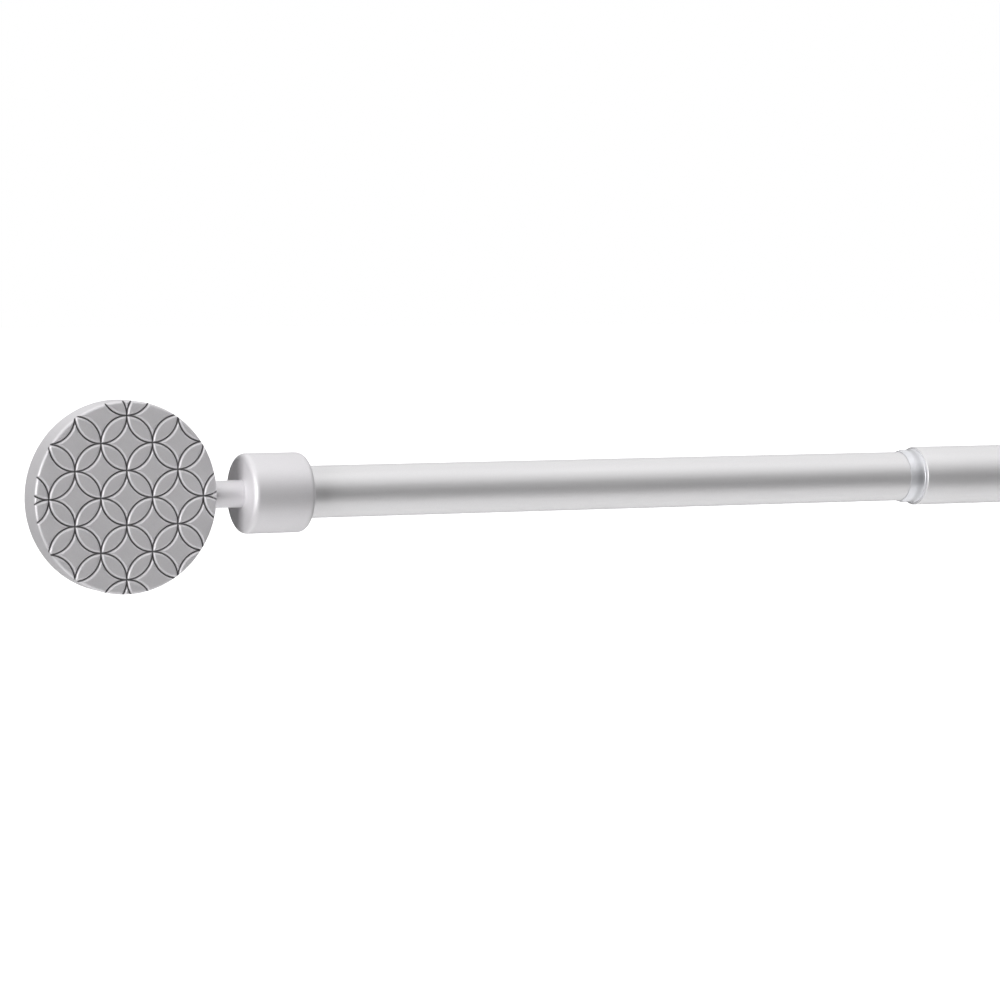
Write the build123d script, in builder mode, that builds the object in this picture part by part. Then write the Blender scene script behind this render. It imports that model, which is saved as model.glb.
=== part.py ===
from build123d import *
from math import hypot
import os

# Telescoping curtain rod with engraved disc finials, in millimetres.
# The rod lies along X, with the thinner tube at -X, and the engraved faces look to -Y.
# The origin is on the rod's axis, at the middle of the outer tube.

# Tubes
INNER_TUBE_DIAMETER = 15.875
INNER_TUBE_WALL = 0.6
INNER_TUBE_LENGTH = 570.0
OUTER_TUBE_DIAMETER = 19.05
OUTER_TUBE_WALL = 0.7
OUTER_TUBE_LENGTH = 690.0
TUBE_EDGE = 0.3  # round on the outer edge of each cut end
DRAWN_OUT = 212.5  # inner tube in view between its collar and the mouth ring

# Bead crimped into the inner tube, which keeps the guide bush in it
BEAD_FROM_END = 9.0
BEAD_WIDTH = 3.0
BEAD_DEPTH = 0.5

# Finial disc and its neck
DISC_DIAMETER = 57.15
DISC_THICKNESS = 10.0
DISC_EDGE = 0.9
NECK_DIAMETER = 8.2
NECK_LENGTH = 9.3

# Engraved lattice of interlocking circles
CIRCLE_RADIUS = 8.06  # also half the distance between centres along a row
GROOVE_WIDTH = 1.0
GROOVE_DEPTH = 1.1
RIM_MARGIN = 1.0  # a circle that comes less than this far inside the rim is left out

# Collar
COLLAR_DIAMETER = 24.2
COLLAR_LENGTH = 20.0
COLLAR_WALL = 5.0  # between the neck and the tube's socket
COLLAR_EDGE = 1.8  # round on the edge beside the disc
COLLAR_ROUND = 2.0  # round on the edge beside the tube
COLLAR_LIP = 0.25  # least flat end left between that round and the tube

# Stud, nut and end plug
STUD_DIAMETER = 5.0
STUD_IN_FINIAL = 15.0
STUD_PAST_NUT = 1.0
NUT_ACROSS_FLATS = 8.0
NUT_HEIGHT = 4.0
PLUG_FLANGE = 1.5
PLUG_LENGTH = 13.0  # inside the tube
PLUG_CHAMFER = 1.0

# Clear ring at the mouth of the outer tube
RING_NOSE = 5.6  # length in view
RING_LIP = 0.12  # blunt edge round the inner tube
RING_TAPER = 1.8  # length of the taper behind that edge
RING_STEP = 0.15  # the nose is this much smaller in radius than the spigot
RING_RECESS = 0.4  # the step is this far inside the tube's mouth
RING_SPIGOT = 40.0

# Guide bush on the inner tube's hidden end
BUSH_HEAD = 20.0
BUSH_SPIGOT = 18.0
BUSH_BORE = 10.0
BUSH_CHAMFER = 0.6

# Clearances
RUNNING_FIT = 0.08
SOCKET_FIT = 0.05
SEATED_FIT = 0.02
STUD_CLEARANCE = 0.2
BEAD_CLEARANCE = 0.3
END_CLEARANCE = 0.2

# Radii that follow from the sizes above
disc_radius = DISC_DIAMETER / 2
inner_radius = INNER_TUBE_DIAMETER / 2
inner_bore = inner_radius - INNER_TUBE_WALL
outer_radius = OUTER_TUBE_DIAMETER / 2
outer_bore = outer_radius - OUTER_TUBE_WALL
stud_radius = STUD_DIAMETER / 2

# Stations along each end, measured from the centre of its disc towards the middle of the rod
neck_end = disc_radius + NECK_LENGTH
socket_floor = neck_end + COLLAR_WALL
tube_end = socket_floor + PLUG_FLANGE
collar_end = neck_end + COLLAR_LENGTH
plug_end = tube_end + PLUG_LENGTH
nut_face = plug_end - NUT_HEIGHT
stud_end = plug_end + STUD_PAST_NUT

# Places along the rod
mouth = -OUTER_TUBE_LENGTH / 2
ring_tip = mouth - RING_NOSE
left_disc_x = ring_tip - DRAWN_OUT - collar_end
right_disc_x = OUTER_TUBE_LENGTH / 2 + tube_end
inner_tube_start = left_disc_x + tube_end
inner_tube_stop = inner_tube_start + INNER_TUBE_LENGTH
bead_x = inner_tube_stop - BEAD_FROM_END

# One plane per end: x runs inwards along the rod, y is radial and z looks out of the engraved face
LEFT_END = Plane((left_disc_x, 0, 0), x_dir=(1, 0, 0), z_dir=(0, -1, 0))
RIGHT_END = Plane((right_disc_x, 0, 0), x_dir=(-1, 0, 0), z_dir=(0, -1, 0))


def lattice_points():
    """Centres of the circles that reach the disc's face, one of them at its middle."""
    reach = disc_radius + CIRCLE_RADIUS - RIM_MARGIN
    steps = range(-int(reach // CIRCLE_RADIUS) - 1, int(reach // CIRCLE_RADIUS) + 2)
    return [
        (column * CIRCLE_RADIUS, row * CIRCLE_RADIUS)
        for column in steps
        for row in steps
        if (column + row) % 2 == 0 and hypot(column, row) * CIRCLE_RADIUS < reach
    ]


def across(end, station):
    """Plane square to the rod at a station of one end, looking inwards."""
    return Plane(end.from_local_coords((station, 0, 0)), z_dir=end.x_dir)


def rod_axis(end):
    """The rod's axis, as seen from one end."""
    return Axis(end.origin, end.x_dir)


def make_engraving(end):
    """What the lattice of circles takes out of the face that looks out of the plane."""
    with BuildSketch() as circle_line:
        Circle(CIRCLE_RADIUS + GROOVE_WIDTH / 2)
        Circle(CIRCLE_RADIUS - GROOVE_WIDTH / 2, mode=Mode.SUBTRACT)
    with BuildPart() as engraving:
        with BuildSketch(end.offset(DISC_THICKNESS / 2)):
            with Locations(*lattice_points()):
                add(circle_line.sketch)
        extrude(amount=-GROOVE_DEPTH)
    return engraving


def make_finial(end):
    """Disc and neck in one moulding. Both are engraved, so that the neck's root fills no groove."""
    engraving = make_engraving(end)
    with BuildPart() as neck:
        with BuildSketch(across(end, 0)):
            Circle(NECK_DIAMETER / 2)
        extrude(amount=neck_end)
        add(engraving.part, mode=Mode.SUBTRACT)
    with BuildPart() as finial:
        with BuildSketch(end.offset(-DISC_THICKNESS / 2)):
            Circle(disc_radius)
        extrude(amount=DISC_THICKNESS)
        chamfer(finial.edges().filter_by(GeomType.CIRCLE), DISC_EDGE)
        add(engraving.part, mode=Mode.SUBTRACT)
        add(neck.part)
        with BuildSketch(across(end, neck_end)):
            Circle(stud_radius + SEATED_FIT)
        extrude(amount=-STUD_IN_FINIAL, mode=Mode.SUBTRACT)
    return finial


def make_collar(end, tube_radius):
    """Turned collar with a flat outer face, a socket for the tube and rounded edges."""
    rim = COLLAR_DIAMETER / 2
    socket = tube_radius + SOCKET_FIT
    hole = stud_radius + STUD_CLEARANCE
    inner_round = min(COLLAR_ROUND, rim - socket - COLLAR_LIP)
    with BuildPart() as collar:
        with BuildSketch(end):
            with BuildLine():
                Line((neck_end, hole), (neck_end, rim - COLLAR_EDGE))
                RadiusArc((neck_end, rim - COLLAR_EDGE), (neck_end + COLLAR_EDGE, rim), COLLAR_EDGE)
                Line((neck_end + COLLAR_EDGE, rim), (collar_end - inner_round, rim))
                RadiusArc((collar_end - inner_round, rim), (collar_end, rim - inner_round), inner_round)
                Polyline(
                    (collar_end, rim - inner_round),
                    (collar_end, socket),
                    (socket_floor, socket),
                    (socket_floor, hole),
                    (neck_end, hole),
                )
            make_face()
        revolve(axis=rod_axis(end))
    return collar


def make_plug(end, tube_radius, tube_bore):
    """End plug: a flange over the tube's end, and a body with a six-sided pocket for the nut."""
    with BuildPart() as plug:
        with BuildSketch(across(end, socket_floor)):
            Circle(tube_radius)
        extrude(amount=PLUG_FLANGE)
        with BuildSketch(across(end, tube_end)):
            Circle(tube_bore - SEATED_FIT)
        extrude(amount=PLUG_LENGTH)
        tail = plug.faces().sort_by(rod_axis(end))[-1]
        chamfer(tail.outer_wire().edges(), PLUG_CHAMFER)
        with BuildSketch(across(end, nut_face)):
            RegularPolygon(NUT_ACROSS_FLATS / 2 + SEATED_FIT, 6, major_radius=False)
        extrude(amount=NUT_HEIGHT, mode=Mode.SUBTRACT)
        with BuildSketch(across(end, socket_floor)):
            Circle(stud_radius + STUD_CLEARANCE)
        extrude(amount=PLUG_FLANGE + PLUG_LENGTH, mode=Mode.SUBTRACT)
    return plug


def make_nut(end):
    """Six-sided nut in the plug's pocket."""
    with BuildPart() as nut:
        with BuildSketch(across(end, nut_face)):
            RegularPolygon(NUT_ACROSS_FLATS / 2, 6, major_radius=False)
            Circle(stud_radius + SEATED_FIT, mode=Mode.SUBTRACT)
        extrude(amount=NUT_HEIGHT)
    return nut


def make_stud(end):
    """Stud from inside the finial's neck, through the collar and the plug, to the nut."""
    length = stud_end - neck_end + STUD_IN_FINIAL
    with BuildPart() as stud:
        with BuildSketch(across(end, neck_end - STUD_IN_FINIAL)):
            Circle(stud_radius)
        extrude(amount=length)
    return stud


def cut_edges(tube):
    """The outer edges of a tube's two cut ends."""
    outside = tube.edges().filter_by(GeomType.CIRCLE).group_by(SortBy.RADIUS)[-1]
    ordered = outside.sort_by(Axis.X)
    return [ordered[0], ordered[-1]]


def keep(node, builder):
    """Label a finished piece and write it to its own file."""
    builder.part.label = node
    export_step(builder.part, f"parts/{node}.step")


# Outer tube
with BuildPart() as outer_tube:
    with BuildSketch(Plane.YZ.offset(mouth)):
        Circle(outer_radius)
        Circle(outer_bore, mode=Mode.SUBTRACT)
    extrude(amount=OUTER_TUBE_LENGTH)
    fillet(cut_edges(outer_tube), TUBE_EDGE)

# Inner tube, with the bead crimped into its hidden end
with BuildPart() as inner_tube:
    with BuildSketch(Plane.XZ):
        with BuildLine():
            bead_from = bead_x - BEAD_WIDTH / 2
            bead_to = bead_x + BEAD_WIDTH / 2
            Polyline(
                (inner_tube_start, inner_radius),
                (bead_from, inner_radius),
                (bead_x, inner_radius - BEAD_DEPTH),
                (bead_to, inner_radius),
                (inner_tube_stop, inner_radius),
                (inner_tube_stop, inner_bore),
                (bead_to, inner_bore),
                (bead_x, inner_bore - BEAD_DEPTH),
                (bead_from, inner_bore),
                (inner_tube_start, inner_bore),
                close=True,
            )
        make_face()
    revolve(axis=Axis.X)
    fillet(cut_edges(inner_tube), TUBE_EDGE)

# Mouth ring: a tapered nose round the inner tube, and a spigot pressed into the outer tube
with BuildPart() as mouth_ring:
    with BuildSketch(Plane.XZ):
        with BuildLine():
            ring_bore = inner_radius + RUNNING_FIT
            spigot_radius = outer_bore - SEATED_FIT
            nose_radius = spigot_radius - RING_STEP
            Polyline(
                (ring_tip, ring_bore),
                (ring_tip, ring_bore + RING_LIP),
                (ring_tip + RING_TAPER, nose_radius),
                (mouth + RING_RECESS, nose_radius),
                (mouth + RING_RECESS, spigot_radius),
                (mouth + RING_SPIGOT, spigot_radius),
                (mouth + RING_SPIGOT, ring_bore),
                close=True,
            )
        make_face()
    revolve(axis=Axis.X)

# Guide bush: a head that runs in the outer tube, and a grooved spigot that turns in the inner tube
with BuildPart() as guide_bush:
    with BuildSketch(Plane.XZ):
        with BuildLine():
            head = outer_bore - RUNNING_FIT
            spigot = inner_bore - RUNNING_FIT
            groove_floor = inner_bore - BEAD_DEPTH - BEAD_CLEARANCE
            groove_from = bead_from - BEAD_CLEARANCE
            groove_to = bead_to + BEAD_CLEARANCE
            head_from = inner_tube_stop + END_CLEARANCE
            head_to = head_from + BUSH_HEAD
            spigot_from = inner_tube_stop - BUSH_SPIGOT
            Polyline(
                (spigot_from, BUSH_BORE / 2),
                (spigot_from, spigot),
                (groove_from, spigot),
                (groove_from, groove_floor),
                (groove_to, groove_floor),
                (groove_to, spigot),
                (head_from, spigot),
                (head_from, head),
                (head_to - BUSH_CHAMFER, head),
                (head_to, head - BUSH_CHAMFER),
                (head_to, BUSH_BORE / 2),
                close=True,
            )
        make_face()
    revolve(axis=Axis.X)

# Pieces in the order in which the rod goes together
os.makedirs("parts", exist_ok=True)
keep("outer_tube", outer_tube)
keep("mouth_ring", mouth_ring)
keep("guide_bush", guide_bush)
keep("inner_tube", inner_tube)
for side, end, tube_radius, tube_bore in (
    ("left", LEFT_END, inner_radius, inner_bore),
    ("right", RIGHT_END, outer_radius, outer_bore),
):
    keep(f"{side}_plug", make_plug(end, tube_radius, tube_bore))
    keep(f"{side}_nut", make_nut(end))
    keep(f"{side}_collar", make_collar(end, tube_radius))
    keep(f"{side}_stud", make_stud(end))
    keep(f"{side}_finial", make_finial(end))
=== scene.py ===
"""Looks of a telescoping curtain rod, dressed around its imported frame.

Lengths are in metres, in the frame's own axes: the rod lies along X with the thinner tube at -X,
the engraved faces look to -Y, and +Z is up.
"""
import logging
import math
from abc import ABC, abstractmethod
from collections.abc import Sequence
from dataclasses import dataclass
from enum import Enum
from itertools import product

import bmesh
import bpy
import numpy as np
from mathutils import Matrix, Vector
from mathutils.geometry import delaunay_2d_cdt


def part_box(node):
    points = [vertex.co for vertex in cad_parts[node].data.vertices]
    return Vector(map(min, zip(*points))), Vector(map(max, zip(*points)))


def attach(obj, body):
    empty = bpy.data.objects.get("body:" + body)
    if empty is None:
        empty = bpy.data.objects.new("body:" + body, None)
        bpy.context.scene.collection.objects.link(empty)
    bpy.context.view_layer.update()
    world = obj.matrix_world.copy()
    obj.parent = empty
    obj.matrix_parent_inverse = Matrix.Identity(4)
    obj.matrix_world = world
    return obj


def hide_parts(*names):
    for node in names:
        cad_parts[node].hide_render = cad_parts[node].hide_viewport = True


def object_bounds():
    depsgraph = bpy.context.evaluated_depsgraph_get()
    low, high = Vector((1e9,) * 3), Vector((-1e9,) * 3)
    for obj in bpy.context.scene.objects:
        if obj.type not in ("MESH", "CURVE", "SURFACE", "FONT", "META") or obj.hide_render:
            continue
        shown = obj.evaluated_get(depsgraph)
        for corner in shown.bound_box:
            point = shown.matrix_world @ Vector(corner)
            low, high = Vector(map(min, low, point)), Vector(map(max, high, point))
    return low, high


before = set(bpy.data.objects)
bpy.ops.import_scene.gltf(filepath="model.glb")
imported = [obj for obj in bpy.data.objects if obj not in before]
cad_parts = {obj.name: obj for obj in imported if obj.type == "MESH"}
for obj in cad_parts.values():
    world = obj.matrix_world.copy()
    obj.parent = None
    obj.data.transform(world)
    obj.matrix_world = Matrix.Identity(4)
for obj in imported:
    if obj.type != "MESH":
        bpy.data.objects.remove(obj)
cad_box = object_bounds()

MM = 0.001
# mesh layer of how deep a place lies in a groove, which also sets the painted shade there
GROOVE_LAYER = "groove_depth"
LEVEL = 0.99999  # a face is level if its normal has more than this along Y
CREASE = math.radians(32)  # edges of plain pieces that are sharper than this stay sharp
LOW_END, HIGH_END = 0.3, 0.7  # the span of a noise or weight that shades and gloss follow
SAME = 1e-9  # distances in metres that differ by less than this are the same
MERGE = 1e-7  # places in metres that are closer than this are one in a triangulation
HULL_TRIANGLES = 0  # the kind of triangulation that fills the places' outline
CLEAREST_BEFORE_MOUTH = 2.2 * MM  # from the outer tube's mouth to where the clear ring is clearest
log = logging.getLogger("curtain_rod")

Colour = tuple[float, float, float]
Point = tuple[float, float]
Socket = bpy.types.NodeSocket


class End(Enum):
    """The two ends of the rod."""

    LEFT = "left"
    RIGHT = "right"

    @property
    def inward(self) -> int:
        """Sign of X towards the middle of the rod."""
        return 1 if self is End.LEFT else -1

    @property
    def body(self) -> str:
        """The moving body that this end belongs to."""
        return "inner_rod" if self is End.LEFT else "outer_rod"

    def node(self, piece: str) -> str:
        """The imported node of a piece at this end."""
        return f"{self.value}_{piece}"


class NodeGraph:
    """A material's or world's shader nodes, built from empty."""

    def __init__(self, owner: bpy.types.Material | bpy.types.World) -> None:
        """Empty the owner's node tree and keep it.

        Args:
            owner: The material or world that the nodes belong to.
        """
        owner.use_nodes = True
        self.tree = owner.node_tree
        self.tree.nodes.clear()

    def add(self, kind: str, **settings: object) -> bpy.types.Node:
        """Add a node and set its properties and unlinked inputs.

        Args:
            kind: Blender's node type.
            settings: Properties of the node by name, or inputs by name with _ for a space.

        Returns:
            The new node.
        """
        node = self.tree.nodes.new(kind)
        for name, value in settings.items():
            if hasattr(node, name):
                setattr(node, name, value)
            else:
                node.inputs[name.replace("_", " ")].default_value = value
        return node

    def link(self, source: Socket, target: Socket) -> None:
        """Join an output to an input."""
        self.tree.links.new(source, target)

    def noise(self, size: float, detail: float, length: float = 0.0) -> Socket:
        """Noise in the object's own space.

        Args:
            size: Size of its waves in metres.
            detail: Octaves of the noise.
            length: Size of its waves along the rod, where that differs.

        Returns:
            The noise's value, about 0.5 on average.
        """
        place = self.add("ShaderNodeTexCoord").outputs["Object"]
        texture = self.add("ShaderNodeTexNoise", Scale=1.0 if length else 1 / size, Detail=detail)
        if length:
            mapping = self.add("ShaderNodeMapping", Scale=(1 / length, 1 / size, 1 / size))
            self.link(place, mapping.inputs["Vector"])
            place = mapping.outputs["Vector"]
        self.link(place, texture.inputs["Vector"])
        return texture.outputs["Fac"]

    def between(self, value: Socket, low: float, high: float) -> Socket:
        """A value stretched from its usual span over a new range.

        Args:
            value: The output to stretch.
            low: What the span's low end becomes.
            high: What the span's high end becomes.

        Returns:
            The stretched value.
        """
        return self.spread(value, (LOW_END, HIGH_END), (low, high))

    def spread(self, value: Socket, span: tuple[float, float], onto: tuple[float, float]) -> Socket:
        """A value carried from one range to another, and held at its ends.

        Args:
            value: The output to carry over.
            span: The range that it comes from.
            onto: The range that it goes to.

        Returns:
            The new value.
        """
        node = self.add(
            "ShaderNodeMapRange",
            From_Min=span[0], From_Max=span[1], To_Min=onto[0], To_Max=onto[1],
        )
        self.link(value, node.inputs["Value"])
        return node.outputs["Result"]

    def tint(self, value: Socket, dark: Colour, light: Colour) -> Socket:
        """A colour that follows a value between two shades.

        Args:
            value: The output that chooses the shade.
            dark: The shade at the low end.
            light: The shade at the high end.

        Returns:
            The mixed colour.
        """
        ramp = self.add("ShaderNodeValToRGB")
        ramp.color_ramp.elements[0].position = LOW_END
        ramp.color_ramp.elements[1].position = HIGH_END
        ramp.color_ramp.elements[0].color = (*dark, 1.0)
        ramp.color_ramp.elements[1].color = (*light, 1.0)
        self.link(value, ramp.inputs["Fac"])
        return ramp.outputs["Color"]

    def bump(self, height: Socket, depth: float, under: Socket | None = None) -> Socket:
        """A bumped normal.

        Args:
            height: The output that gives the height, from 0 to 1.
            depth: Height of the bumps in metres.
            under: A normal that the bumps sit on.

        Returns:
            The normal.
        """
        node = self.add("ShaderNodeBump", Distance=depth)
        self.link(height, node.inputs["Height"])
        if under is not None:
            self.link(under, node.inputs["Normal"])
        return node.outputs["Normal"]

    def away_from(self, middle: float, near: float, far: float, low: float, high: float) -> Socket:
        """A value that changes along the rod on both sides of a place.

        Args:
            middle: X of the place.
            near: How far from it the change starts.
            far: How far from it the change ends.
            low: The value up to where it starts.
            high: The value from where it ends.

        Returns:
            The value.
        """
        parts = self.add("ShaderNodeSeparateXYZ")
        gap = self.add("ShaderNodeMath", operation="SUBTRACT")
        size = self.add("ShaderNodeMath", operation="ABSOLUTE")
        gap.inputs[1].default_value = middle
        self.link(self.add("ShaderNodeTexCoord").outputs["Object"], parts.inputs["Vector"])
        self.link(parts.outputs["X"], gap.inputs[0])
        self.link(gap.outputs["Value"], size.inputs[0])
        return self.spread(size.outputs["Value"], (near, far), (low, high))

    def darken(self, colour: Socket, layer: str, span: tuple[float, float], tone: float) -> Socket:
        """A colour darkened where a layer of the mesh is high: painted shade, put where shade would
        fall.

        Args:
            colour: The colour to darken.
            layer: The layer's name.
            span: The layer's values up to which the colour stays, and from which it is darkest.
            tone: What the colour is multiplied by where it is darkest.

        Returns:
            The darkened colour.
        """
        depth = self.add("ShaderNodeAttribute", attribute_name=layer)
        darker = self.add("ShaderNodeVectorMath", operation="SCALE")
        self.link(colour, darker.inputs[0])
        self.link(self.spread(depth.outputs["Fac"], span, (1.0, tone)), darker.inputs["Scale"])
        return darker.outputs["Vector"]

    def mix(self, share: Socket, one: Socket, two: Socket) -> Socket:
        """Two shaders mixed.

        Args:
            share: The second shader's share.
            one: The first shader.
            two: The second shader.

        Returns:
            The mixed shader.
        """
        node = self.add("ShaderNodeMixShader")
        self.link(share, node.inputs[0])
        self.link(one, node.inputs[1])
        self.link(two, node.inputs[2])
        return node.outputs["Shader"]

    def output(self, shader: Socket, kind: str = "ShaderNodeOutputMaterial") -> None:
        """Send a shader to the tree's surface output."""
        self.link(shader, self.add(kind).inputs["Surface"])


def shade(colour: Colour, factor: float) -> Colour:
    """A colour made lighter or darker by a factor."""
    return tuple(min(1.0, part * factor) for part in colour)


def grey(level: float) -> tuple[float, float, float, float]:
    """A neutral colour for a shader's input, from 0 for black to 1 for white."""
    return (level, level, level, 1.0)


@dataclass(frozen=True)
class Finish(ABC):
    """A surface finish, and the record's slot that it belongs to."""

    name: str
    slot: str
    colour: Colour
    roughness: float

    @abstractmethod
    def paint(self, graph: NodeGraph) -> Socket:
        """Build the finish's shader.

        Args:
            graph: The material's nodes.

        Returns:
            The surface shader.
        """

    def material(self) -> bpy.types.Material:
        """The finish's material, made at its first use.

        Returns:
            The material.
        """
        made = bpy.data.materials.get(self.name)
        if made is None:
            made = bpy.data.materials.new(self.name)
            graph = NodeGraph(made)
            graph.output(self.paint(graph))
        return made

    def dullness(self, graph: NodeGraph, value: Socket, spread: float) -> Socket:
        """The finish's roughness, which follows a value by as much as spread both ways."""
        return graph.between(value, self.roughness - spread, self.roughness + spread)

    def dress(self, piece: bpy.types.Object) -> None:
        """Give a piece this finish alone.

        Args:
            piece: The object to dress.
        """
        piece.data.materials.clear()
        piece.data.materials.append(self.material())


@dataclass(frozen=True)
class SilverLacquer(Finish):
    """Satin silver lacquer with fine metal flake, over a tube or a moulding."""

    metallic: float
    # painted shade: the colour is multiplied by this at the bottom of an engraved groove, darkening over
    # the span of groove depths below
    painted_groove_shade: float = 1.0
    painted_shade_span: tuple[float, float] = (0.4, 0.8)
    streak_length: float = 0.0
    streak_width: float = 1.0 * MM
    grain: float = 0.3 * MM
    grain_height: float = 0.0008 * MM
    grain_dark: float = 0.975
    grain_light: float = 1.02
    ripple: float = 4.0 * MM
    ripple_height: float = 0.0015 * MM
    gloss_spread: float = 0.02

    def paint(self, graph: NodeGraph) -> Socket:
        """Build the lacquer: flake in the colour, painted shade deep in engraved grooves where asked,
        soft ripple or drawing marks in the gloss.

        Args:
            graph: The material's nodes.

        Returns:
            The surface shader.
        """
        flake = graph.noise(self.grain, detail=2.0)
        ripple = graph.noise(self.ripple, detail=2.0)
        marks = ripple
        if self.streak_length:
            marks = graph.noise(self.streak_width, detail=3.0, length=self.streak_length)
        surface = graph.add("ShaderNodeBsdfPrincipled", Metallic=self.metallic)
        dark, light = shade(self.colour, self.grain_dark), shade(self.colour, self.grain_light)
        colour = graph.tint(flake, dark, light)
        # painted shade: the lacquer is darkened towards the bottoms of the engraved grooves, standing in
        # for the shade that falls in them
        if self.painted_groove_shade < 1.0:
            colour = graph.darken(colour, GROOVE_LAYER, self.painted_shade_span, self.painted_groove_shade)
        graph.link(colour, surface.inputs["Base Color"])
        dullness = self.dullness(graph, marks, self.gloss_spread)
        graph.link(dullness, surface.inputs["Roughness"])
        peel = graph.bump(ripple, self.ripple_height)
        graph.link(graph.bump(flake, self.grain_height, peel), surface.inputs["Normal"])
        return surface.outputs["BSDF"]


@dataclass(frozen=True)
class ClearPlastic(Finish):
    """Clear plastic in a thin wall: glossy, see-through, milkier away from its clearest place."""

    outline: Colour
    milk: Colour
    clearest: float
    clear_half: float = 0.4 * MM
    milky_half: float = 1.4 * MM
    least_haze: float = 0.65
    most_haze: float = 0.85
    sheen: float = 0.6
    sheen_roughness: float = 0.45
    front_gloss: float = 0.03
    side_gloss: float = 0.35
    gloss_spread: float = 0.04
    blend: float = 0.3
    flow: float = 3.0 * MM
    flow_height: float = 0.006 * MM
    flow_dark: float = 0.97

    def paint(self, graph: NodeGraph) -> Socket:
        """Build the plastic: clear and milky at once, with flow marks from the mould.

        Args:
            graph: The material's nodes.

        Returns:
            The surface shader.
        """
        flow = graph.noise(self.flow, detail=2.0)
        aside = graph.add("ShaderNodeLayerWeight", Blend=self.blend).outputs["Facing"]
        clear = graph.add("ShaderNodeBsdfTransparent")
        graph.link(graph.tint(aside, self.colour, self.outline), clear.inputs["Color"])
        milk = graph.add(
            "ShaderNodeBsdfPrincipled", Metallic=self.sheen, Roughness=self.sheen_roughness,
        )
        milk_tint = graph.tint(flow, shade(self.milk, self.flow_dark), self.milk)
        graph.link(milk_tint, milk.inputs["Base Color"])
        gloss = graph.add("ShaderNodeBsdfGlossy")
        dullness = graph.between(flow, self.roughness, self.roughness + self.gloss_spread)
        graph.link(dullness, gloss.inputs["Roughness"])
        graph.link(graph.bump(flow, self.flow_height), gloss.inputs["Normal"])
        mirror = graph.between(aside, self.front_gloss, self.side_gloss)
        haze = graph.away_from(
            self.clearest, self.clear_half, self.milky_half, self.least_haze, self.most_haze,
        )
        body = graph.mix(haze, clear.outputs["BSDF"], milk.outputs["BSDF"])
        return graph.mix(mirror, body, gloss.outputs["BSDF"])


@dataclass(frozen=True)
class MouldedNylon(Finish):
    """Natural nylon with the fine texture of its mould."""

    spark: float = 0.25 * MM
    spark_height: float = 0.01 * MM
    spark_dark: float = 0.95
    gloss_spread: float = 0.05
    milkiness: float = 0.15
    milk_depth: float = 1.0 * MM

    def paint(self, graph: NodeGraph) -> Socket:
        """Build the nylon: milky, matte and lightly sparked.

        Args:
            graph: The material's nodes.

        Returns:
            The surface shader.
        """
        spark = graph.noise(self.spark, detail=3.0)
        surface = graph.add(
            "ShaderNodeBsdfPrincipled",
            Subsurface_Weight=self.milkiness,
            Subsurface_Scale=self.milk_depth,
        )
        colour = graph.tint(spark, shade(self.colour, self.spark_dark), self.colour)
        dullness = self.dullness(graph, spark, self.gloss_spread)
        graph.link(colour, surface.inputs["Base Color"])
        graph.link(dullness, surface.inputs["Roughness"])
        graph.link(graph.bump(spark, self.spark_height), surface.inputs["Normal"])
        return surface.outputs["BSDF"]


@dataclass(frozen=True)
class PlatedSteel(Finish):
    """Bright zinc plating on steel."""

    cloud: float = 1.5 * MM
    cloud_height: float = 0.003 * MM
    cloud_dark: float = 0.9
    gloss_spread: float = 0.06

    def paint(self, graph: NodeGraph) -> Socket:
        """Build the plating: metal with a clouded gloss.

        Args:
            graph: The material's nodes.

        Returns:
            The surface shader.
        """
        cloud = graph.noise(self.cloud, detail=4.0)
        surface = graph.add("ShaderNodeBsdfPrincipled", Metallic=1.0)
        colour = graph.tint(cloud, shade(self.colour, self.cloud_dark), self.colour)
        dullness = self.dullness(graph, cloud, self.gloss_spread)
        graph.link(colour, surface.inputs["Base Color"])
        graph.link(dullness, surface.inputs["Roughness"])
        graph.link(graph.bump(cloud, self.cloud_height), surface.inputs["Normal"])
        return surface.outputs["BSDF"]


TUBE_SILVER = SilverLacquer(
    "tube_silver", "tube_finish", colour=(0.81, 0.802, 0.812), roughness=0.5,
    metallic=0.6, streak_length=60 * MM,
)
# finial lacquer, with painted shade deep in the engraved grooves
FINIAL_SILVER = SilverLacquer(
    "finial_silver", "finial_finish", colour=(0.825, 0.81, 0.831), roughness=0.56,
    metallic=0.5, painted_groove_shade=0.35,
)
CLEAR_RING = ClearPlastic(
    "clear_ring_plastic", "clear_ring", colour=(0.98, 0.985, 1.0), roughness=0.1,
    outline=(0.97, 0.975, 0.99), milk=(0.875, 0.88, 0.915),
    clearest=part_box("outer_tube")[0].x - CLEAREST_BEFORE_MOUTH,
)
NATURAL_NYLON = MouldedNylon("natural_nylon", "nylon", colour=(0.85, 0.85, 0.82), roughness=0.5)
ZINC = PlatedSteel("zinc_plating", "plated_steel", colour=(0.62, 0.62, 0.63), roughness=0.3)


@dataclass(frozen=True)
class Corner:
    """A corner of a turned profile: its place along the rod, its radius, and the round on it."""

    x: float
    radius: float
    round: float = 0.0

    @property
    def place(self) -> Vector:
        """The corner as a 2-D point."""
        return Vector((self.x, self.radius))


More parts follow.
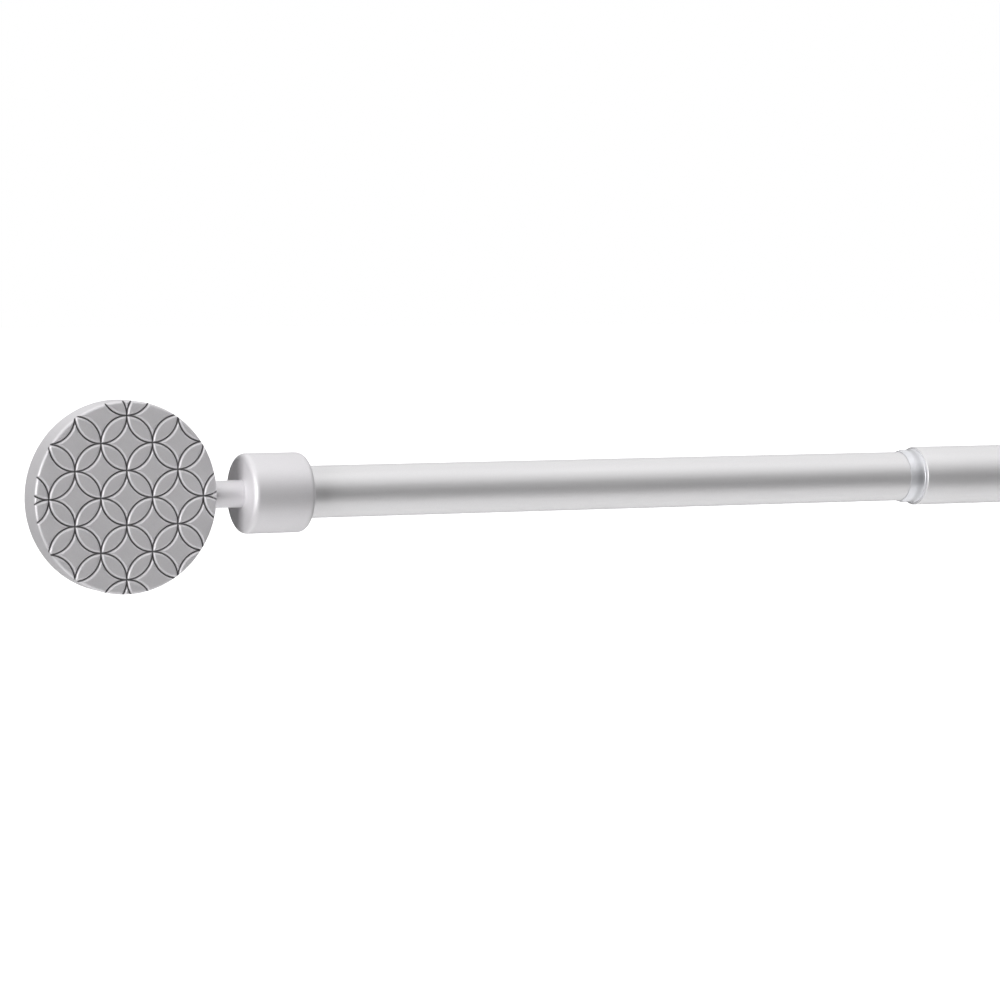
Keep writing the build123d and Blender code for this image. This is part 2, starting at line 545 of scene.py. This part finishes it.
def rounded(corners: Sequence[Corner], steps: int) -> list[Point]:
    """Round the corners of a closed profile with tangent arcs.

    Args:
        corners: The profile's corners in order.
        steps: Straight pieces in each arc.

    Returns:
        The points of the rounded profile.
    """
    points = []
    for index, corner in enumerate(corners):
        if not corner.round:
            points.append(tuple(corner.place))
            continue
        back = (corners[index - 1].place - corner.place).normalized()
        ahead = (corners[(index + 1) % len(corners)].place - corner.place).normalized()
        half = back.angle(ahead) / 2
        middle = corner.place + (back + ahead).normalized() * (corner.round / math.sin(half))
        start = corner.place + back * (corner.round / math.tan(half)) - middle
        stop = corner.place + ahead * (corner.round / math.tan(half)) - middle
        turn = start.angle_signed(stop)
        for step in range(steps + 1):
            arm = start.copy()
            arm.rotate(Matrix.Rotation(-turn * step / steps, 2))
            points.append(tuple(middle + arm))
    return points


def turned(profile: Sequence[Point], segments: int) -> bmesh.types.BMesh:
    """Turn a closed profile about the rod's axis.

    Args:
        profile: Points as place along the rod and radius. A radius of zero lies on the axis.
        segments: Faces round the axis.

    Returns:
        The turned surface, with its normals outwards.
    """
    mesh = bmesh.new()
    turns = [2 * math.pi * k / segments for k in range(segments)]
    rings = []
    for x, radius in profile:
        if radius == 0:
            rings.append([mesh.verts.new((x, 0, 0))] * segments)
        else:
            places = [(x, -radius * math.cos(t), radius * math.sin(t)) for t in turns]
            rings.append([mesh.verts.new(place) for place in places])
    for one, two in zip(rings, rings[1:] + rings[:1]):
        for k in range(segments):
            around = dict.fromkeys((one[k - 1], one[k], two[k], two[k - 1]))
            if len(around) > 2:
                mesh.faces.new(around)
    bmesh.ops.recalc_face_normals(mesh, faces=mesh.faces)
    return mesh


def stations(start: float, stop: float, longest: float) -> list[float]:
    """Evenly spaced places strictly between two places.

    Args:
        start: The first place, left out.
        stop: The last place, left out.
        longest: The longest step allowed.

    Returns:
        The places between them.
    """
    count = max(1, math.ceil(abs(stop - start) / longest))
    return [start + (stop - start) * k / count for k in range(1, count)]


def make_object(name: str, mesh: bmesh.types.BMesh) -> bpy.types.Object:
    """Turn a built surface into a smooth-shaded object in the scene.

    Args:
        name: The object's name.
        mesh: The built surface, which is freed.

    Returns:
        The new object.
    """
    data = bpy.data.meshes.new(name)
    mesh.to_mesh(data)
    mesh.free()
    data.shade_smooth()
    data.set_sharp_from_angle(angle=CREASE)
    made = bpy.data.objects.new(name, data)
    bpy.context.scene.collection.objects.link(made)
    return made


def combine(piece: bpy.types.Object, tool: bpy.types.Object, operation: str) -> None:
    """Join a tool to a piece, or cut it out, and delete the tool.

    Args:
        piece: The object that is changed.
        tool: The object that is joined or cut.
        operation: UNION or DIFFERENCE.
    """
    modifier = piece.modifiers.new("combine", "BOOLEAN")
    modifier.operation = operation
    modifier.solver = "MANIFOLD"
    modifier.object = tool
    graph = bpy.context.evaluated_depsgraph_get()
    data = bpy.data.meshes.new_from_object(piece.evaluated_get(graph))
    piece.modifiers.clear()
    piece.data = data
    bpy.data.objects.remove(tool)


def crisp(piece: bpy.types.Object, crease: float, level_crease: float) -> None:
    """Shade a piece smooth but for its creases, with level faces that look along Y kept quite flat.

    Args:
        piece: The object to shade.
        crease: Edges sharper than this angle stay sharp.
        level_crease: The same for the edges of level faces.
    """
    mesh = bmesh.new()
    mesh.from_mesh(piece.data)
    for face in mesh.faces:
        face.smooth = True
    for edge in mesh.edges:
        level = any(abs(face.normal.y) > LEVEL for face in edge.link_faces)
        edge.smooth = edge.calc_face_angle(0.0) < (level_crease if level else crease)
    mesh.to_mesh(piece.data)
    mesh.free()


def settle(piece: bpy.types.Object, body: str, finish: Finish, *nodes: str) -> None:
    """Dress a piece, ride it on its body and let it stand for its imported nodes.

    Args:
        piece: The finished object.
        body: The body that it moves with.
        finish: Its finish.
        nodes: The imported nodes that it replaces.
    """
    finish.dress(piece)
    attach(piece, body)
    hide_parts(*nodes)
    faces = len(piece.data.polygons)
    log.info("%s rides on %s, for %s: %d faces", piece.name, body, ", ".join(nodes), faces)


@dataclass
class Engraving:
    """Lattice of interlocking circles, cut as soft V-shaped grooves.

    The rows are distances from a groove's line in half widths, and fall is the share of its depth there.
    """

    circle: float = 8.06 * MM
    half_width: float = 0.5 * MM
    depth: float = 1.1 * MM
    rim_margin: float = 1.0 * MM
    steps: int = 208
    rows: tuple[float, ...] = (0.0, 0.12, 0.45, 0.8, 1.0, 1.6, 1.8)
    fall: tuple[float, ...] = (1.0, 0.92, 0.5, 0.16, 0.08, 0.0, 0.0)
    least_gap: float = 0.06 * MM
    ridge_step: float = 0.08 * MM

    def centres(self, radius: float) -> np.ndarray:
        """Centres of the circles that reach a disc.

        Args:
            radius: The disc's radius.

        Returns:
            One row per circle.
        """
        reach = radius + self.circle - self.rim_margin
        far = int(reach // self.circle) + 1
        steps = range(-far, far + 1)
        grid = [(i, j) for i in steps for j in steps if (i + j) % 2 == 0]
        near = [(i, j) for i, j in grid if math.hypot(i, j) * self.circle < reach]
        return np.array([(i * self.circle, j * self.circle) for i, j in near])

    def distances(self, places: np.ndarray, radius: float) -> np.ndarray:
        """Distance of each place from every circle's line.

        Args:
            places: One row per place.
            radius: The disc's radius.

        Returns:
            One row per place and one column per circle.
        """
        arms = places[:, None, :] - self.centres(radius)[None, :, :]
        return np.abs(np.hypot(arms[..., 0], arms[..., 1]) - self.circle)

    def cut(self, places: np.ndarray, radius: float) -> np.ndarray:
        """Depth of the engraving at each place.

        Args:
            places: One row per place.
            radius: The disc's radius.

        Returns:
            The depth below the face.
        """
        nearest = self.distances(places, radius).min(axis=1)
        return self.depth * np.interp(nearest / self.half_width, self.rows, self.fall)

    def mitres(self, radius: float) -> np.ndarray:
        """Places where the walls of two grooves meet at the same depth.

        Args:
            radius: The disc's radius.

        Returns:
            One row per place.
        """
        centres = self.centres(radius)
        offsets = [row * self.half_width for row in self.rows]
        found = []
        for index, one in enumerate(centres):
            for two in centres[index + 1:]:
                gap = float(np.hypot(*(two - one)))
                if gap > 2 * (self.circle + offsets[-1]):
                    continue
                along = (two - one) / gap
                across = np.array((-along[1], along[0]))
                for offset in offsets:
                    for near, far in product((offset, -offset), repeat=2):
                        a, b = self.circle + near, self.circle + far
                        foot = (gap**2 + a**2 - b**2) / (2 * gap)
                        rise = a**2 - foot**2
                        if rise < 0:
                            continue
                        for side in (1, -1):
                            found.append(one + along * foot + across * side * math.sqrt(rise))
        places = np.array(found)
        depths = self.distances(places, radius)
        two_nearest = np.sort(depths, axis=1)[:, 1]
        return places[two_nearest - depths.min(axis=1) < SAME]

    def ridges(self, radius: float) -> np.ndarray:
        """Places along the ridges where the walls of two grooves meet.

        Args:
            radius: The disc's radius.

        Returns:
            One row per place.
        """
        centres = self.centres(radius)
        along = np.arange(-self.circle, self.circle, self.ridge_step)
        found = []
        for index, one in enumerate(centres):
            for two in centres[index + 1:]:
                gap = float(np.hypot(*(two - one)))
                if gap < 2 * self.circle + self.least_gap:
                    across = np.array((one[1] - two[1], two[0] - one[0])) / gap
                    found.append((one + two) / 2 + along[:, None] * across)
        places = np.concatenate(found)
        depths = np.sort(self.distances(places, radius), axis=1)
        near = depths[:, 0] < self.rows[-1] * self.half_width
        return places[near & (depths[:, 1] - depths[:, 0] < SAME)]

    def lines(self, radius: float) -> np.ndarray:
        """Places along every groove, in rows beside each other, where that groove is the nearest.

        Args:
            radius: The disc's radius.

        Returns:
            One row per place.
        """
        turns = np.linspace(0, 2 * math.pi, self.steps, endpoint=False)
        ring = np.stack((np.cos(turns), np.sin(turns)), axis=1)
        found = []
        for index, centre in enumerate(self.centres(radius)):
            for row in sorted({*self.rows, *(-r for r in self.rows)}):
                places = centre + ring * (self.circle + row * self.half_width)
                depths = self.distances(places, radius)
                found.append(places[depths[:, index] <= depths.min(axis=1) + SAME])
        return np.concatenate(found)

    def thin(self, places: np.ndarray) -> list[Vector]:
        """Drop each place that lies too close to an earlier one.

        Args:
            places: One row per place, the ones to keep first.

        Returns:
            The kept places.
        """
        cells: dict[tuple[int, int], list[Vector]] = {}
        kept = []
        for x, y in places:
            place = Vector((x, y))
            column, row = int(x // self.least_gap), int(y // self.least_gap)
            near = [
                other
                for i in (column - 1, column, column + 1)
                for j in (row - 1, row, row + 1)
                for other in cells.get((i, j), ())
            ]
            if all((other - place).length > self.least_gap for other in near):
                cells.setdefault((column, row), []).append(place)
                kept.append(place)
        return kept


@dataclass
class EngravedFinial:
    """Disc with a neck, in one moulding, with the engraving on its front."""

    end: End
    engraving: Engraving
    finish: Finish
    edge: float = 0.9 * MM
    neck_radius: float = 4.1 * MM
    neck_root: float = 1.1 * MM
    bore_radius: float = 2.52 * MM
    bore_depth: float = 15.0 * MM
    side_margin: float = 0.3 * MM
    back_margin: float = 0.5 * MM
    rim_steps: int = 384
    edge_steps: int = 6
    neck_segments: int = 96
    bore_segments: int = 64
    crease: float = math.radians(40)
    level_crease: float = math.radians(10)

    def __post_init__(self) -> None:
        """Take the disc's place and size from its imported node."""
        low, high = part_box(self.end.node("finial"))
        self.radius = (high.z - low.z) / 2
        self.thickness = high.y - low.y
        self.middle = low.x + self.radius if self.end is End.LEFT else high.x - self.radius
        self.neck_end = high.x - self.middle if self.end is End.LEFT else self.middle - low.x

    def rim(self, radius: float) -> np.ndarray:
        """Evenly spaced places on a circle about the disc's middle.

        Args:
            radius: The circle's radius.

        Returns:
            One row per place.
        """
        turns = np.linspace(0, 2 * math.pi, self.rim_steps, endpoint=False)
        return radius * np.stack((np.cos(turns), np.sin(turns)), axis=1)

    def edge_rings(self) -> list[tuple[float, float]]:
        """Radius and drop of each ring of the rounded edge, from the face to the side.

        Returns:
            The rings in order.
        """
        angles = [math.pi / 2 * k / self.edge_steps for k in range(self.edge_steps + 1)]
        flat = self.radius - self.edge
        return [(flat + self.edge * math.sin(a), self.edge * (1 - math.cos(a))) for a in angles]

    def front(self) -> tuple[list[Vector], list[float], list[list[int]]]:
        """The engraved front with its rounded edge, as a triangulated relief.

        Returns:
            Places as (u, v, height), how deep each lies in a groove from 0 to 1, and triangles of
            their numbers.
        """
        rings = np.concatenate([self.rim(radius) for radius, _ in reversed(self.edge_rings())])
        cutter = self.engraving
        marks = (cutter.mitres, cutter.ridges, cutter.lines)
        relief = np.concatenate([mark(self.radius) for mark in marks])
        inside = np.hypot(relief[:, 0], relief[:, 1]) < self.radius - cutter.least_gap
        kept = cutter.thin(np.concatenate((rings, relief[inside])))
        flat, _, triangles, *_ = delaunay_2d_cdt(kept, [], [], HULL_TRIANGLES, MERGE)
        places = np.array([tuple(p) for p in flat])
        out = np.clip(np.hypot(places[:, 0], places[:, 1]) - self.radius + self.edge, 0, self.edge)
        round_off = self.edge - np.sqrt(self.edge**2 - out**2)
        cut = cutter.cut(places, self.radius)
        points = [Vector((u, v, -d)) for (u, v), d in zip(places, np.maximum(round_off, cut))]
        return points, list(cut / cutter.depth), triangles

    def disc(self) -> bmesh.types.BMesh:
        """The whole disc: engraved front, side, and plain back.

        Returns:
            The closed surface.
        """
        points, depths, triangles = self.front()
        mesh = bmesh.new()
        layer = mesh.verts.layers.float.new(GROOVE_LAYER)
        front_y = -self.thickness / 2
        verts = [mesh.verts.new((self.along(u), front_y - height, v)) for u, v, height in points]
        for vert, depth in zip(verts, depths):
            vert[layer] = depth
        for triangle in triangles:
            mesh.faces.new([verts[k] for k in triangle])
        outline = sorted(
            {v for e in mesh.edges if e.is_boundary for v in e.verts},
            key=lambda v: math.atan2(v.co.z, v.co.x - self.middle),
        )
        side = self.thickness / 2 - self.edge
        straight = side - self.side_margin
        levels = [(self.radius, level) for level in (-straight, 0.0, straight)]
        for radius, drop in reversed(self.edge_rings()):
            levels.append((radius, side + self.edge - drop))
        levels.append((self.radius - self.edge - self.back_margin, self.thickness / 2))
        loop = outline
        for radius, level in levels:
            arms = [Vector((v.co.x - self.middle, v.co.z)).normalized() * radius for v in outline]
            ring = [mesh.verts.new((self.middle + arm.x, level, arm.y)) for arm in arms]
            for k in range(len(loop)):
                mesh.faces.new((loop[k - 1], loop[k], ring[k], ring[k - 1]))
            loop = ring
        mesh.faces.new(loop)
        bmesh.ops.recalc_face_normals(mesh, faces=mesh.faces)
        return mesh

    def along(self, station: float) -> float:
        """X of a distance from the disc's middle towards the rod's."""
        return self.middle + self.end.inward * station

    def build(self) -> bpy.types.Object:
        """Make the finial and dress it.

        Returns:
            The finished piece.
        """
        piece = make_object(f"{self.end.value}_engraved_finial", self.disc())
        root, tip = self.along(self.radius - self.neck_root), self.along(self.neck_end)
        neck = [(root, 0.0), (root, self.neck_radius), (tip, self.neck_radius), (tip, 0.0)]
        combine(piece, make_object("neck", turned(neck, self.neck_segments)), "UNION")
        floor = self.along(self.neck_end - self.bore_depth)
        past = self.along(self.neck_end + self.edge)
        bore = [(floor, 0.0), (floor, self.bore_radius), (past, self.bore_radius), (past, 0.0)]
        combine(piece, make_object("bore", turned(bore, self.bore_segments)), "DIFFERENCE")
        crisp(piece, self.crease, self.level_crease)
        settle(piece, self.end.body, self.finish, self.end.node("finial"))
        return piece


@dataclass
class Collar:
    """Turned collar with a flat outer face, a socket for the tube and rounded edges."""

    end: End
    tube_node: str
    finish: Finish
    outer_round: float = 1.8 * MM
    inner_round: float = 2.0 * MM
    mouth_round: float = 0.15 * MM
    wall: float = 5.0 * MM
    hole: float = 2.7 * MM
    socket_fit: float = 0.05 * MM
    round_steps: int = 12
    segments: int = 192

    def build(self) -> bpy.types.Object:
        """Make the collar and dress it.

        Returns:
            The finished piece.
        """
        low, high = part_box(self.end.node("collar"))
        face, tip = (low.x, high.x) if self.end is End.LEFT else (high.x, low.x)
        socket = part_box(self.tube_node)[1].z + self.socket_fit
        floor = face + self.end.inward * self.wall
        profile = rounded([
            Corner(face, self.hole),
            Corner(face, high.z, self.outer_round),
            Corner(tip, high.z, self.inner_round),
            Corner(tip, socket, self.mouth_round),
            Corner(floor, socket),
            Corner(floor, self.hole),
        ], self.round_steps)
        piece = make_object(f"{self.end.value}_turned_collar", turned(profile, self.segments))
        settle(piece, self.end.body, self.finish, self.end.node("collar"))
        return piece


@dataclass
class RolledTube:
    """Rolled steel tube with its cut edges broken."""

    node: str
    body: str
    wall: float
    finish: Finish
    outer_edge: float = 0.3 * MM
    bore_edge: float = 0.04 * MM
    ring_gap: float = 15 * MM
    bead_from_end: float = 0.0
    bead_width: float = 3.0 * MM
    bead_depth: float = 0.5 * MM
    bead_steps: int = 8
    edge_steps: int = 6
    segments: int = 128

    def skin(self, start: float, stop: float, radius: float) -> list[Point]:
        """One wall of the tube, with the crimped bead near its hidden end.

        Args:
            start: Where the wall starts.
            stop: Where it stops.
            radius: Its radius.

        Returns:
            The points strictly between the two ends.
        """
        if not self.bead_from_end:
            return [(x, radius) for x in stations(start, stop, self.ring_gap)]
        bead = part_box(self.node)[1].x - self.bead_from_end
        half = self.bead_width / 2
        waves = [k / self.bead_steps for k in range(-self.bead_steps, self.bead_steps + 1)]
        dip = [
            (bead + half * w, radius - self.bead_depth * (1 + math.cos(math.pi * w)) / 2)
            for w in waves
        ]
        if start > stop:
            dip.reverse()
        before = [(x, radius) for x in stations(start, dip[0][0], self.ring_gap)]
        after = [(x, radius) for x in stations(dip[-1][0], stop, self.ring_gap)]
        return before + dip + after

    def build(self) -> bpy.types.Object:
        """Make the tube and dress it.

        Returns:
            The finished piece.
        """
        low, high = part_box(self.node)
        outside, inside = high.z, high.z - self.wall
        edges = rounded([
            Corner(low.x, inside, self.bore_edge),
            Corner(low.x, outside, self.outer_edge),
            Corner(high.x, outside, self.outer_edge),
            Corner(high.x, inside, self.bore_edge),
        ], self.edge_steps)
        half = len(edges) // 2
        near, far = edges[:half], edges[half:]
        profile = [
            *near, *self.skin(near[-1][0], far[0][0], outside),
            *far, *self.skin(far[-1][0], near[0][0], inside),
        ]
        piece = make_object(f"rolled_{self.node}", turned(profile, self.segments))
        settle(piece, self.body, self.finish, self.node)
        return piece


@dataclass
class MouthRing:
    """Clear ring between the tubes: a tapered nose, and a spigot pressed into the outer tube."""

    finish: Finish
    outer_node: str = "outer_tube"
    running_fit: float = 0.08 * MM
    lip: float = 0.12 * MM
    taper: float = 1.8 * MM
    step: float = 0.15 * MM
    step_length: float = 0.1 * MM
    step_before: float = 0.65 * MM
    small_round: float = 0.04 * MM
    nose_round: float = 0.6 * MM
    round_steps: int = 6
    segments: int = 192

    def build(self) -> bpy.types.Object:
        """Make the ring and dress it.

        Returns:
            The finished piece.
        """
        low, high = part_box("mouth_ring")
        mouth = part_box(self.outer_node)[0].x
        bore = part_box("inner_tube")[1].z + self.running_fit
        spigot = high.z
        nose = spigot - self.step
        profile = rounded([
            Corner(low.x, bore, self.small_round),
            Corner(low.x, bore + self.lip, self.small_round),
            Corner(low.x + self.taper, nose, self.nose_round),
            Corner(mouth - self.step_before - self.step_length, nose, self.small_round),
            Corner(mouth - self.step_before, spigot, self.small_round),
            Corner(high.x, spigot, self.small_round),
            Corner(high.x, bore, self.small_round),
        ], self.round_steps)
        piece = make_object("clear_mouth_ring", turned(profile, self.segments))
        settle(piece, "outer_rod", self.finish, "mouth_ring")
        return piece


@dataclass
class HiddenFittings:
    """Plugs, nuts, studs and the guide bush, which stay as they are packed."""

    nylon: Finish
    steel: Finish

    def dress(self) -> None:
        """Give each packed fitting its finish."""
        finishes = {"guide_bush": self.nylon}
        for end in End:
            finishes[end.node("plug")] = self.nylon
            finishes[end.node("nut")] = self.steel
            finishes[end.node("stud")] = self.steel
        for node, finish in finishes.items():
            finish.dress(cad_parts[node])
            log.info("%s dressed in %s", node, finish.name)


@dataclass
class ViewCamera:
    """The photograph's camera, placed from the left disc's middle. Angles are in degrees."""

    azimuth: float = -26.606
    elevation: float = 4.021
    roll: float = 0.384
    distance: float = 1105.34 * MM
    aside: float = 111.61 * MM
    above: float = -0.93 * MM
    lens: float = 135.0

    def place(self, target: Vector) -> None:
        """Make the camera and use it.

        Args:
            target: The left disc's middle.
        """
        turn, lift, tilt = (math.radians(a) for a in (self.azimuth, self.elevation, self.roll))
        flat = math.cos(lift)
        back = Vector((math.sin(turn) * flat, -math.cos(turn) * flat, math.sin(lift)))
        level = Vector((math.cos(turn), math.sin(turn), 0))
        plumb = back.cross(level)
        right = level * math.cos(tilt) + plumb * math.sin(tilt)
        up = plumb * math.cos(tilt) - level * math.sin(tilt)
        camera = bpy.data.objects.new("view_camera", bpy.data.cameras.new("view_camera"))
        camera.data.lens = self.lens
        axes = Matrix((right, up, back)).transposed().to_4x4()
        spot = target + right * self.aside + up * self.above + back * self.distance
        camera.matrix_world = Matrix.Translation(spot) @ axes
        bpy.context.scene.collection.objects.link(camera)
        bpy.context.scene.camera = camera


@dataclass(frozen=True)
class Softbox:
    """A rectangular lamp that looks at a point, both measured from the left disc's middle."""

    name: str
    place: tuple[float, float, float]
    aim: tuple[float, float, float]
    width: float
    height: float
    glow: float

    def hang(self, disc: Vector) -> None:
        """Make the lamp. Its glow is the brightness of its face.

        Args:
            disc: The left disc's middle.
        """
        lamp = bpy.data.lights.new(self.name, "AREA")
        lamp.shape = "RECTANGLE"
        lamp.size = self.width
        lamp.size_y = self.height
        lamp.energy = self.glow * math.pi * self.width * self.height
        made = bpy.data.objects.new(self.name, lamp)
        made.location = disc + Vector(self.place)
        back = Vector(self.place) - Vector(self.aim)
        made.rotation_euler = back.to_track_quat("Z", "Y").to_euler()
        bpy.context.scene.collection.objects.link(made)


LAMPS = (
    Softbox(
        "key_lamp", place=(-3.72, -1.4, 0.24), aim=(0.0, 0.0, 0.0),
        width=2.0, height=1.6, glow=12.7,
    ),
    Softbox(
        "top_lamp", place=(0.32, -0.35, 0.95), aim=(0.32, 0.0, 0.0),
        width=1.4, height=0.35, glow=0.7,
    ),
)


@dataclass
class Studio:
    """Plain pale floor, white surround, and grey walls for the metal to show."""

    floor_drop: float = 0.75
    floor_half: float = 30.0
    floor_cells: int = 8
    floor_grey: float = 0.85
    wall_radius: float = 1.1
    wall_top: float = 0.5
    wall_grey: float = 0.1
    wall_sides: int = 64
    ambient: float = 0.85
    floor_glow: float = 0.75
    floor_fill: float = 0.12

    @staticmethod
    def seen(graph: NodeGraph) -> Socket:
        """One for rays that show a background: from the camera, off gloss or through clear plastic.

        Args:
            graph: The nodes that need it.

        Returns:
            One or zero.
        """
        path = graph.add("ShaderNodeLightPath").outputs
        both = graph.add("ShaderNodeMath", operation="MAXIMUM")
        every = graph.add("ShaderNodeMath", operation="MAXIMUM")
        graph.link(path["Is Camera Ray"], both.inputs[0])
        graph.link(path["Is Glossy Ray"], both.inputs[1])
        graph.link(both.outputs[0], every.inputs[0])
        graph.link(path["Is Transmission Ray"], every.inputs[1])
        return every.outputs[0]

    def surround(self) -> None:
        """White surround, a little dimmer as light than as a background."""
        world = bpy.data.worlds.new("white_surround")
        graph = NodeGraph(world)
        glow = graph.add("ShaderNodeBackground", Color=grey(1.0))
        strength = graph.spread(self.seen(graph), (0.0, 1.0), (self.ambient, 1.0))
        graph.link(strength, glow.inputs["Strength"])
        graph.output(glow.outputs["Background"], "ShaderNodeOutputWorld")
        bpy.context.scene.world = world

    def floor(self, centre: Vector) -> None:
        """Pale floor under the rod, white as a background and still taking its shadow.

        Args:
            centre: The middle of the rod.
        """
        mesh = bmesh.new()
        cells = self.floor_cells
        bmesh.ops.create_grid(mesh, x_segments=cells, y_segments=cells, size=self.floor_half)
        floor = make_object("pale_floor", mesh)
        floor.location = centre - Vector((0, 0, self.floor_drop))
        material = bpy.data.materials.new("pale_floor")
        graph = NodeGraph(material)
        matte = graph.add("ShaderNodeBsdfDiffuse", Color=grey(self.floor_grey))
        glow = graph.add("ShaderNodeEmission", Color=grey(1.0))
        strength = graph.spread(self.seen(graph), (0.0, 1.0), (self.floor_fill, self.floor_glow))
        both = graph.add("ShaderNodeAddShader")
        graph.link(strength, glow.inputs["Strength"])
        graph.link(matte.outputs["BSDF"], both.inputs[0])
        graph.link(glow.outputs["Emission"], both.inputs[1])
        graph.output(both.outputs["Shader"])
        floor.data.materials.append(material)

    def walls(self, centre: Vector) -> None:
        """Grey walls round the rod, seen only in reflections and by bounced light.

        Args:
            centre: The middle of the rod.
        """
        mesh = bmesh.new()
        turns = [2 * math.pi * k / self.wall_sides for k in range(self.wall_sides)]
        low, high = -self.floor_drop, self.wall_top
        circle = [(self.wall_radius * math.cos(t), self.wall_radius * math.sin(t)) for t in turns]
        rings = [[mesh.verts.new((x, y, z)) for x, y in circle] for z in (low, high)]
        for k in range(self.wall_sides):
            mesh.faces.new((rings[0][k - 1], rings[0][k], rings[1][k], rings[1][k - 1]))
        walls = make_object("grey_walls", mesh)
        walls.location = centre
        walls.visible_camera = False
        walls.visible_transmission = False
        walls.visible_shadow = False
        material = bpy.data.materials.new("grey_walls")
        graph = NodeGraph(material)
        matte = graph.add("ShaderNodeBsdfDiffuse", Color=grey(self.wall_grey))
        graph.output(matte.outputs["BSDF"])
        walls.data.materials.append(material)


def main() -> None:
    """Build the rod's pieces in order, then the studio round it."""
    logging.basicConfig(level=logging.INFO, format="%(name)s: %(message)s")
    engraving = Engraving()
    finials = {end: EngravedFinial(end, engraving, FINIAL_SILVER) for end in End}
    for finial in finials.values():
        finial.build()
    Collar(End.LEFT, "inner_tube", FINIAL_SILVER).build()
    Collar(End.RIGHT, "outer_tube", FINIAL_SILVER).build()
    tubes = (
        RolledTube(
            "inner_tube", "inner_rod", wall=0.6 * MM, finish=TUBE_SILVER, bead_from_end=9.0 * MM,
        ),
        RolledTube("outer_tube", "outer_rod", wall=0.7 * MM, finish=TUBE_SILVER),
    )
    for tube in tubes:
        tube.build()
    MouthRing(CLEAR_RING).build()
    HiddenFittings(NATURAL_NYLON, ZINC).dress()

    centre = (cad_box[0] + cad_box[1]) / 2
    disc = Vector((finials[End.LEFT].middle, 0, 0))
    studio = Studio()
    studio.surround()
    studio.floor(centre)
    studio.walls(centre)
    for lamp in LAMPS:
        lamp.hang(disc)
    ViewCamera().place(disc)
    bpy.context.scene.view_settings.view_transform = "Standard"


if __name__ == "__main__":
    main()
